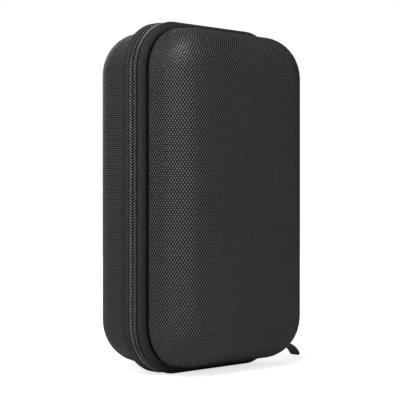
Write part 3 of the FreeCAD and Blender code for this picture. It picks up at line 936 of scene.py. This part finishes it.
def hinge_piece():
    """The strip's section carried from corner to corner, with its ends tapered.

    The taper draws the section to its middle by a square root near each end.
    """
    distance = np.linspace(-hinge_run, hinge_run, 121)
    section = strip_section(HINGE_REACH, TAPE_SEAT - HINGE_THICK, TAPE_SEAT, HINGE_CROWN)
    near_end = np.clip((hinge_run - np.abs(distance)) / HINGE_TAPER, 0.0, 1.0)
    reach = section[:, 1:] * (HINGE_END_WIDTH + (1 - HINGE_END_WIDTH) * np.sqrt(near_end))
    points = around(np.mod(distance, PERIMETER)[None, :], section[:, :1], reach, BACK)
    loop = np.arange(len(section) + 1) * HINGE_WEAVE
    uv = paired(distance[:, None], loop[None, :])
    turned = points.transpose(1, 0, 2)
    return grid_mesh("hinge_strip", turned, uv=uv, close_columns=True, caps=True)


hinge_strip = dress(hinge_piece(), None, BINDING_CLOTH, slot="binding",
                    nodes=["front_hinge_cloth", "back_hinge_cloth"])
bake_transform(hinge_strip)

# %% [markdown]
# Inside, a folded binding hides the raw rim of each half, where board, cloth and
# tape meet. It is an L in section, soft at its edges.

# %% Rim bindings
BINDING = 0.65
BINDING_LEG = 6.0
BINDING_GAP = 0.25


def wall_inset(reach, depth):
    """Inset of the inner face of a side wall at a reach."""
    return RIM_INSET + WALL + DRAFT / (depth - WALL - RIM_REACH) * (reach - RIM_REACH)


def binding_section(depth):
    start = TAPE_SEAT + TAPE + BINDING_GAP
    near = RIM_REACH - BINDING
    far = RIM_REACH + BINDING_LEG
    rim = wall_inset(RIM_REACH, depth) + BINDING_GAP
    foot = wall_inset(far, depth) + BINDING_GAP
    corners = [[start, near], [rim + BINDING, near], [foot + BINDING, far],
               [foot, far], [rim, RIM_REACH], [start, RIM_REACH]]
    return softened(corners, 0.3)


for name, body, depth, half in (("front_rim_trim", "lid", FRONT_DEPTH, FRONT),
                                ("back_rim_trim", "base", BACK_DEPTH, BACK)):
    trim = band_piece(name, binding_section(depth), half)
    dress(trim, body, BINDING_CLOTH, slot="binding", nodes=[name.replace("trim", "binding")])

# %% [markdown]
# The slider, its ring and the four end stops keep their CAD shapes. They are
# zinc castings and bent wire under black lacquer, glossy where fingers rub.

# %% Lacquered metal


def lacquer_finish():
    """Black lacquer over zinc: a fine orange peel, and rubbed edges that show grey."""
    material, tree, shader = finish("black lacquer")
    place = object_place(tree)
    pale_mask = blend_range(tree, noise(tree, place, 420.0, 4.0), 0.5, 0.8)
    paint(tree, shader, pale_mask, 0.010, 0.045)
    tree.links.new(straight(tree, pale_mask, 0.25, 0.28), shader.inputs["Roughness"])
    tree.links.new(times(tree, pale_mask, 0.5), shader.inputs["Metallic"])
    raise_surface(tree, shader, noise(tree, place, 1300.0), 0.00002)
    return material


def refinish(node, material):
    """A CAD node keeps its shape and takes a new finish."""
    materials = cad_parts[node].data.materials
    materials.clear()
    materials.append(material)


LACQUER = lacquer_finish()
for node in ("slider_body", "pull_ring", "front_end_stops", "back_end_stops"):
    refinish(node, LACQUER)

# %% [markdown]
# The pull is a short length of ribbed webbing, doubled round the ring and sewn.
# It stands out from the ring, curves down and rests its tip on the floor. Both
# layers are one closed section across, carried along that bend: thick round the
# ring, pinched by the seam, with edges that round over and a softened tip.

# %% Webbing pull
PULL_WIDTH = 8.6
PULL_LAYER = 1.0
RING_WIRE = 0.55
PULL_GAP = 0.15
PULL_NECK = 4.1
PULL_STRAIGHT = 6.4
PULL_BEND = 18.5
PULL_LOOP = RING_WIRE + PULL_GAP + PULL_LAYER
HEAD_LEAST = 0.02
FLOOR_GAP = 0.2


def rounded_end(left, run, least):
    """Share of the full size, falling to the least by a circle over the last run."""
    return least + (1 - least) * np.sqrt(1 - np.clip(1 - left / run, 0, 1) ** 2)


def pull_path(bar, count):
    """Middle line (x, z), slope and half thickness of the doubled webbing.

    It runs level past the neck, then round an arc down to the floor. The half
    thickness falls from the loop round the ring to one layer at the neck.
    """
    droop = math.acos((PULL_BEND - bar[1] + FLOOR_GAP) / (PULL_BEND - PULL_LAYER))
    level = PULL_NECK + PULL_STRAIGHT
    way = np.linspace(0.0, level + PULL_BEND * droop, count)
    angle = np.clip(way - level, 0, None) / PULL_BEND
    x = bar[0] + np.minimum(way, level) + PULL_BEND * np.sin(angle)
    z = bar[1] - PULL_BEND * (1 - np.cos(angle))
    thick = PULL_LAYER + (PULL_LOOP - PULL_LAYER) * (1 - smooth(way / PULL_NECK))
    return way, x, z, angle, thick


def pull_piece():
    """Across: a flat oval, y = half width * |cos|^0.3, z = half thickness * |sin|^0.6.

    Along the way, rounded caps close both ends by shrinking the section with a
    circle's curve. Round the ring the head is a half turn about the bar.
    """
    low, high = np.array(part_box("pull_ring")) / MM
    bar = (high[0] - RING_WIRE, (low[2] + high[2]) / 2)
    way, x, z, angle, thick = pull_path(bar, 56)
    head = np.linspace(-1.0, 0.0, 8)[:-1] * PULL_LOOP
    way = np.concatenate([head, way])
    x = np.concatenate([bar[0] + head, x])
    z = np.concatenate([np.full(len(head), bar[1]), z])
    angle = np.concatenate([np.zeros(len(head)), angle])
    around_ring = PULL_LOOP * np.sqrt(1 - (head / PULL_LOOP) ** 2) + HEAD_LEAST
    thick = np.concatenate([around_ring, thick])
    tip = rounded_end(way[-1] - way, run=1.1, least=0.5)
    corner = rounded_end(way[-1] - way, run=2.4, least=0.84)
    turn = np.linspace(0, 2 * math.pi, 40, endpoint=False)
    side = signed_power(np.cos(turn), 0.3) * PULL_WIDTH / 2
    rise = signed_power(np.sin(turn), 0.6)
    across = side[None, :] * corner[:, None]
    up = rise[None, :] * (thick * tip)[:, None]
    points = np.stack([
        x[:, None] + up * np.sin(angle)[:, None],
        across,
        z[:, None] + up * np.cos(angle)[:, None],
    ], axis=-1) * MM
    uv = paired(way[:, None], np.append(side, side[0])[None, :])
    return grid_mesh("pull_tab", points, uv=uv, close_columns=True, caps=True)


def webbing_finish():
    """Ribbed webbing: the woven group with low cells and a share of plain ribs, its gaps painted
    dark as shade.
    """
    material, tree, shader = finish("ribbed webbing", Roughness=0.6, Sheen_Weight=0.15)
    weave = place_group(tree, WOVEN, Vector=own_uv(tree), Column=1.0, Row=0.8, Ribs=0.35)
    # Painted shade in the webbing's gaps; the yarns keep their own random tone.
    paint(tree, shader, weave["Gap"], mix_colour(tree, weave["Yarn"], 0.0272, 0.0408), 0.008)
    raise_surface(tree, shader, weave["Height"], 0.0003)
    return material


WEBBING = webbing_finish()
dress(pull_piece(), "pull", WEBBING, slot="webbing", nodes=["pull_webbing"])

# %% [markdown]
# The back half holds a foam cradle. Its top is a height field: the controller's
# recess and the accessory bay are smooth steps of a distance to their outlines,
# so every edge rolls over as pressed foam does. The knit is stretched over it.

# %% Foam cradle
CRADLE_GAP = 0.3
CRADLE_REACH = 16.0
RECESS_DEPTH = 21.0
RECESS_Z = 98.0
BAY_DEPTH = 20.0
# Each block: middle x and z, width, length, corner radius and turn.
BODY_BLOCK = (-14.0, RECESS_Z, 58.0, 146.0, 18.0, 0.0)
GRIP_BLOCKS = [(1.0, RECESS_Z + side * 53.0, 84.0, 42.0, 19.0, math.radians(side * 10.0))
               for side in (-1, 1)]
BAY_BLOCK = (0.0, 195.0, 84.0, 26.0, 9.0, 0.0)
SPLAY_X = -14.0
RECESS_ROLL = (2.2, 5.0)
BAY_ROLL = (1.6, 4.0)
CRADLE_ROUND = 1.6
SPINE_END = 52.0
DROP_SHARE = 0.6


def block_distance(x, z, block):
    """Distance to a rectangle with round corners, negative inside it.

    The block may be turned about the point at the recess's middle line. The
    distance is the length of the part outside the inner rectangle, less the radius.
    """
    middle_x, middle_z, width, length, corner, turned = block
    dx, dz = x - SPLAY_X, z - middle_z
    back_x = dx * math.cos(turned) + dz * math.sin(turned)
    back_z = -dx * math.sin(turned) + dz * math.cos(turned)
    px = np.abs(back_x + SPLAY_X - middle_x) - (width / 2 - corner)
    pz = np.abs(back_z) - (length / 2 - corner)
    outside = np.hypot(np.maximum(px, 0), np.maximum(pz, 0))
    return outside + np.minimum(np.maximum(px, pz), 0) - corner


def hollow(distance, depth, roll):
    """Depth times a smooth step of the distance. The roll is its start and width."""
    start, width = roll
    return depth * smooth((start - distance) / width)


def cradle_piece():
    """Grid over the room, in rings from its rim inwards, then sides and a closed back.

    Row by row the outline shrinks to its spine. Reach is the face, plus both
    hollows, plus a circle's curve at the rim.
    """
    inset = wall_inset(CRADLE_REACH, BACK_DEPTH) + CRADLE_GAP
    distance = stations(straight_step=2.4, corner_step=1.6)
    x, z, out_x, out_z = outline(distance)
    edge = paired(x + out_x * (CORNER - inset), z + out_z * (CORNER - inset))
    share = np.linspace(1.0, 0.0, 72)[:-1]
    spine = np.clip(edge, [0.0, SPINE_END], [0.0, HEIGHT - SPINE_END])
    place = spine[None] + (edge - spine)[None] * share[:, None, None]
    px, pz = place[..., 0], place[..., 1]
    blocks = (BODY_BLOCK, *GRIP_BLOCKS)
    recess = hollow(np.min([block_distance(px, pz, block) for block in blocks], axis=0),
                    RECESS_DEPTH, RECESS_ROLL)
    bay = hollow(block_distance(px, pz, BAY_BLOCK), BAY_DEPTH, BAY_ROLL)
    rim = CRADLE_ROUND * (1 - rounded_end((1 - share) * 60.0, run=3.0, least=0.0))
    reach = CRADLE_REACH + recess + bay + rim[:, None]
    top = np.stack([px, reach, pz], axis=-1)
    wall = moulded_profile(RIM_INSET + WALL + CRADLE_GAP, BACK_DEPTH - WALL - CRADLE_GAP,
                           BACK_EDGE - WALL - CRADLE_GAP, CRADLE_REACH + CRADLE_ROUND + GAP)
    side = around(distance[None, :], wall[:, :1], wall[:, 1:], BACK) / MM
    back_ring = side[0] * [0.5, 1.0, 0.5] + np.array([0.0, 0.0, HEIGHT / 4])
    points = np.concatenate([[back_ring], side, top]) * MM
    closing = np.concatenate([points, points[:, :1]], axis=1) / MM
    drop = np.abs(np.diff(closing[..., 1], axis=0, prepend=closing[:1, :, 1]))
    run = DROP_SHARE * np.cumsum(drop, axis=0)
    uv = paired(closing[..., 0] + run, closing[..., 2] + run)
    return grid_mesh("cradle_foam", points, uv=uv, close_columns=True, caps=True)


cradle = dress(cradle_piece(), "base", CRADLE_KNIT, slot="foam", nodes=["foam_cradle"])

# %% [markdown]
# Two elastic straps close over the controller. Each is sewn to a tab on the inner
# wall. They overlap in the middle, where the loop and hook patches meet. A strap
# is a flat band whose edges pull in a little between its anchor and its free end.

# %% Straps and patches
STRAP_WIDTH = 25.0
STRAP_THICK = 1.2
STRAP_LAP = 28.0
STRAP_WAIST = 0.7
STRAP_GAP = 0.25
BEVEL = 0.25
BEVEL_SHARE = 0.7
END_GAP = 0.01
PATCH_THICK = 0.7
PATCH_LENGTH = 24.0
PATCH_WIDTH = 21.0
ANCHOR_THICK = 1.4
ANCHOR_FACE = HALF_WIDTH - wall_inset(CRADLE_REACH, BACK_DEPTH) - STRAP_GAP - ANCHOR_THICK
UNDER_STRAP = CRADLE_REACH - STRAP_GAP
OVER_STRAP = UNDER_STRAP - STRAP_THICK - 2 * PATCH_THICK


def flat_band(name, start, end, far, thick, width, waist=0.0):
    """Closed flat band along X. Its width narrows by a sine towards its middle.

    Its section is a rectangle with rounded edges, made from a superellipse.
    """
    x = np.concatenate([[start + END_GAP], np.linspace(start + BEVEL, end - BEVEL, 33),
                        [end - END_GAP]])
    share = (x - start) / (end - start)
    turn = np.linspace(0, 2 * math.pi, 48, endpoint=False)
    half_width = width / 2 - waist * np.sin(math.pi * share)
    z = signed_power(np.cos(turn), 0.2)
    y = signed_power(np.sin(turn), 0.3)
    ends = np.ones(len(x))
    ends[[0, -1]] = BEVEL_SHARE
    points = np.stack(np.broadcast_arrays(
        x[:, None],
        far - thick / 2 + y[None, :] * thick / 2 * ends[:, None],
        RECESS_Z + z[None, :] * half_width[:, None],
    ), axis=-1) * MM
    uv = paired(x[:, None], np.append(z, z[0])[None, :] * width / 2)
    return grid_mesh(name, points, uv=uv, close_columns=True, caps=True)


def pile_finish(name, grain, dark, pale, depth, rough):
    """Loop or hook pile: cells of a Voronoi pattern stand for tufts, painted darker between them as
    shade.
    """
    material, tree, shader = finish(name, Roughness=rough)
    tufts = tree.nodes.new("ShaderNodeTexVoronoi")
    tufts.inputs["Scale"].default_value = grain
    tree.links.new(object_place(tree), tufts.inputs["Vector"])
    mound = blend_range(tree, tufts.outputs["Distance"], 0.75, 0.0)
    # Painted shade: darker between the tufts' mounds.
    paint(tree, shader, mound, dark, pale)
    raise_surface(tree, shader, mound, depth)
    return material


LOOP_PILE = pile_finish("loop pile", grain=1500.0, dark=0.010, pale=0.05, depth=0.0004, rough=0.9)
HOOK_PILE = pile_finish("hook pile", grain=1100.0, dark=0.006, pale=0.04, depth=0.0005, rough=0.4)

for name, start, end, far in (("strap_left", -ANCHOR_FACE, STRAP_LAP / 2, UNDER_STRAP),
                              ("strap_right", -STRAP_LAP / 2, ANCHOR_FACE, OVER_STRAP)):
    strap = flat_band(name, start, end, far, STRAP_THICK, STRAP_WIDTH, STRAP_WAIST)
    dress(strap, "base", ELASTIC, slot="elastic", nodes=["retaining_" + name])
patch_far = UNDER_STRAP - STRAP_THICK
for name, node, far, pile in (
    ("loop_pile_patch", "loop_patch", patch_far, LOOP_PILE),
    ("hook_pile_patch", "hook_patch", patch_far - PATCH_THICK, HOOK_PILE),
):
    patch = flat_band(name, -PATCH_LENGTH / 2, PATCH_LENGTH / 2, far, PATCH_THICK, PATCH_WIDTH)
    dress(patch, "base", pile, slot=name.removesuffix("_patch"), nodes=[node])
refinish("strap_anchors", WEBBING)

# %% [markdown]
# The lid has a mesh pocket. Its panel is a net stretched across the half, sewn
# under a binding along three walls, with a gathered elastic hem at its open top.
# The net's holes are real gaps in its finish, so the lining shows through.

# %% Mesh pocket
POCKET_DEPTH = 15.0
POCKET_GAP = 0.3
MESH_THICK = 0.8
MESH_TOP = 140.0
NET_HALF = 56.0
NET_RAMP = 60.0
NET_SWELL = 0.25
HEM_LAP = 1.0
HEM_WIDTH = 10.0
HEM_THICK = 2.2
POCKET_TRIM = 7.0
POCKET_TRIM_THICK = 1.0
POCKET_REACH = FRONT_DEPTH - WALL - POCKET_DEPTH


def room_inset(reach):
    """Inset of the front room's wall at a reach, with its rounding towards the face."""
    profile = moulded_profile(RIM_INSET + WALL + POCKET_GAP, FRONT_DEPTH - WALL - POCKET_GAP,
                              FRONT_EDGE - WALL - POCKET_GAP, RIM_REACH)
    return float(np.interp(reach, profile[::-1, 1], profile[::-1, 0]))


def room_half_width(z, inset):
    """Half width of a ring at a height: the corner's centre plus its circle's share."""
    drop = np.clip(CORNER - z, 0, CORNER - inset)
    return CORNER_X + np.sqrt((CORNER - inset) ** 2 - drop ** 2)


def panel_grid(z, inset, columns=41):
    """Points (x, z) of a panel that fills the room's width at each height."""
    x = np.linspace(-1, 1, columns) * room_half_width(z, inset)[:, None]
    return x, np.broadcast_to(z[:, None], x.shape)


def mesh_panel():
    """A slack net, swelling by a parabola across times a ramp up its lower part."""
    inset = room_inset(POCKET_REACH + MESH_THICK)
    z = inset + (MESH_TOP + HEM_LAP - inset) * (1 - np.cos(np.linspace(0.06, math.pi / 2, 40)))
    x, zz = panel_grid(z, inset)
    swell = NET_SWELL * (1 - (x / NET_HALF) ** 2) * np.clip((zz - inset) / NET_RAMP, 0, 1)
    y = -(POCKET_REACH + MESH_THICK / 2 - swell)
    points = np.stack([x, y, zz], axis=-1) * MM
    uv = paired(x, zz)
    return grid_mesh("mesh_net", points, uv=uv, turn_over=True), z, x


def mesh_finish():
    """Net: rounded holes where the product of two crossed waves is large, cut out by alpha."""
    material, tree, shader = finish("knitted net", Roughness=0.6)
    x, y = in_cells(tree, own_uv(tree), 1.9, 1.7)
    rising = sine(tree, plus(tree, x, y))
    falling = sine(tree, math_node(tree, "SUBTRACT", x, y))
    web = math_node(tree, "ABSOLUTE", times(tree, rising, falling))
    solid = one_less(tree, blend_range(tree, web, 0.30, 0.42))
    tree.links.new(solid, shader.inputs["Alpha"])
    paint(tree, shader, noise(tree, own_uv(tree), 700.0), 0.02, 0.05)
    raise_surface(tree, shader, solid, 0.0004)
    return material


def hem_piece():
    """Elastic hem: a superellipse across its height, swelling with the gathers.

    The gathers are sine waves along the hem whose places wander with a slower sine.
    """
    inset = room_inset(POCKET_REACH + HEM_THICK)
    x, z = panel_grid(np.linspace(MESH_TOP, MESH_TOP + HEM_WIDTH, 15), inset, 81)
    gather = 1 + 0.22 * np.sin(x * 1.35 + 0.6 * np.sin(x * 0.37))
    middle = POCKET_REACH + MESH_THICK / 2
    share = np.linspace(-1, 1, x.shape[0])[:, None]
    thick = HEM_THICK / 2 * (1 - np.abs(share) ** 2.5) ** 0.4 * (0.78 * gather)
    near = np.stack([x, -(middle - thick), z], axis=-1)
    far = np.stack([x, -(middle + thick), z], axis=-1)
    loop = np.concatenate([near, far[::-1][1:-1]]) * MM
    uv = np.concatenate([paired(x, z)] * 2)[: len(loop) + 1]
    return grid_mesh("elastic_hem", loop, uv=uv, close_rows=True, caps=True)


net, net_z, net_x = mesh_panel()
dress(net, "lid", mesh_finish(), slot="mesh", nodes=["mesh_pocket"])
hem = dress(hem_piece(), "lid", ELASTIC, slot="elastic", nodes=["pocket_hem"])


def pocket_trim():
    """Binding along the floor side and both walls: a band inside the room's ring."""
    outer = room_inset(POCKET_REACH)
    reach = POCKET_REACH - POCKET_TRIM_THICK / 2
    near, far = reach - POCKET_TRIM_THICK / 2, reach + POCKET_TRIM_THICK / 2
    inner = outer + POCKET_TRIM
    section = softened([[outer, near], [inner, near], [inner, far], [outer, far]], 0.4)
    start = HEIGHT / 2 - MESH_TOP
    distance = np.linspace(start, PERIMETER / 2 - start, 160)
    return band_piece("pocket_trim", section, FRONT, distance=np.mod(distance, PERIMETER),
                      closed_way=False)


trim = dress(pocket_trim(), "lid", BINDING_CLOTH, slot="binding", nodes=["pocket_binding"])
size = (float(net_x.max() - net_x.min()) * MM, float(net_z[-1] - net_z[0]) * MM)

# %% [markdown]
# The floor and the backdrop are one white sheet. The camera stands level at half
# the height of the case, about 92 cm away, a little more than 45 degrees round
# from the face. The distance, angle and lens came from fitting the case's
# outline in the photograph, whose frame is 400 pixels square.

# %% Camera
FRAME = 400.0
FOCAL_PIXELS = 1357.2
HORIZON_ROW = 197.6
AZIMUTH = math.radians(-47.79)
DISTANCE = 0.9178
SIDE_STEP = -0.0039

camera_data = bpy.data.cameras.new("camera")
camera_data.sensor_width = 36.0
camera_data.lens = FOCAL_PIXELS / FRAME * camera_data.sensor_width
camera_data.shift_y = (HORIZON_ROW - FRAME / 2) / FRAME
camera = bpy.data.objects.new("camera", camera_data)
bpy.context.scene.collection.objects.link(camera)
back = Vector((math.sin(AZIMUTH), -math.cos(AZIMUTH), 0.0))
right = Vector((math.cos(AZIMUTH), math.sin(AZIMUTH), 0.0))
place = Vector((0, 0, HEIGHT / 2 * MM)) + back * DISTANCE + right * SIDE_STEP
turn = Matrix((right, Vector((0, 0, 1)), back)).transposed().to_4x4()
camera.matrix_world = Matrix.Translation(place) @ turn
bpy.context.scene.camera = camera
print("lens", round(camera_data.lens, 1), "mm, from", [round(v, 3) for v in place])

# %% [markdown]
# Studio light for black goods is broad and soft. The key is a small panel near
# the upper left, where the photograph's rounded edge is brightest. Larger ones
# stand at the left, by the camera, overhead and at the right, a low one lights
# the bottom bend, and one behind keeps the back readable. The pure white of the
# ground is only what the camera sees: to the case it is pale grey, and throws
# light up.

# %% Light and ground
GROUND_HALF = 3.0
GROUND_LEVEL = -0.0002
CASE_MIDDLE = (0, 0, 0.12)


def white_world():
    """White to the camera and through glass, dark grey as a light."""
    world = bpy.data.worlds.new("studio")
    world.use_nodes = True
    tree = world.node_tree
    background = tree.nodes["Background"]
    path = tree.nodes.new("ShaderNodeLightPath")
    seen = math_node(tree, "MAXIMUM", path.outputs["Is Camera Ray"],
                     path.outputs["Is Transmission Ray"])
    tree.links.new(mix_colour(tree, seen, 0.05, 1.0), background.inputs["Color"])
    bpy.context.scene.world = world


def panel(name, place, target, size, power):
    """A square area lamp at a place, facing a target."""
    data = bpy.data.lights.new(name, "AREA")
    data.shape = "RECTANGLE"
    data.size, data.size_y = size
    data.energy = power
    lamp = bpy.data.objects.new(name, data)
    aim = (Vector(target) - Vector(place)).to_track_quat("-Z", "Y")
    lamp.matrix_world = Matrix.Translation(place) @ aim.to_matrix().to_4x4()
    bpy.context.scene.collection.objects.link(lamp)


def ground():
    """A large sheet that shows white and keeps a soft shadow.

    Its glow grows to white by a smooth step of the distance from the case.
    """
    half = np.array([-GROUND_HALF, GROUND_HALF])
    corners = np.stack(np.broadcast_arrays(half, half[:, None], GROUND_LEVEL), axis=-1)
    sheet = grid_mesh("ground", corners)
    material, tree, shader = finish("ground white", Roughness=1.0, Specular_IOR_Level=0.0,
                                    Emission_Strength=1.0)
    camera_ray = tree.nodes.new("ShaderNodeLightPath").outputs["Is Camera Ray"]
    far = tree.nodes.new("ShaderNodeVectorMath")
    far.operation = "LENGTH"
    tree.links.new(object_place(tree), far.inputs[0])
    glow = mix_colour(tree, blend_range(tree, far.outputs["Value"], 0.10, 0.45), 0.72, 1.0)
    paint(tree, shader, camera_ray, 0.7, 0.9)
    tree.links.new(mix_colour(tree, camera_ray, 0.0, glow), shader.inputs["Emission Color"])
    sheet.data.materials.append(material)
    sheet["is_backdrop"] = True


white_world()
ground()
bpy.context.scene.view_settings.view_transform = "Standard"
for name, place, target, size, power in (
    ("side", (-1.05, -0.2, 0.45), CASE_MIDDLE, (0.7, 0.6), 3.9),
    ("near_camera", (-0.80, -0.75, 0.70), CASE_MIDDLE, (0.6, 0.5), 1.5),
    ("low", (-0.7, -0.9, 0.12), (0, 0, 0.06), (0.6, 0.2), 2.2),
    ("overhead", (-0.25, -0.15, 1.1), CASE_MIDDLE, (0.6, 0.6), 0.8),
    ("key", (-0.45, -0.2, 0.72), (-0.03, -0.02, 0.18), (0.3, 0.3), 8.2),
    ("front", (0.9, -1.3, 0.6), CASE_MIDDLE, (1.0, 1.0), 4.2),
    ("rear", (0.5, 1.4, 0.7), CASE_MIDDLE, (1.0, 1.0), 10.0),
):
    panel(name, place, target, size, power)

# %% [markdown]
# Cloth may stand a little proud of the CAD shapes, but only a little. How far the
# dressed case has grown past the size that the frame had at the start is printed.

# %% Growth of the dressed case
visual_box = [list(corner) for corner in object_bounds()]
growth = (np.array(visual_box) - np.array(cad_box)) / MM
print("grown by", growth.round(2).tolist(), "mm")
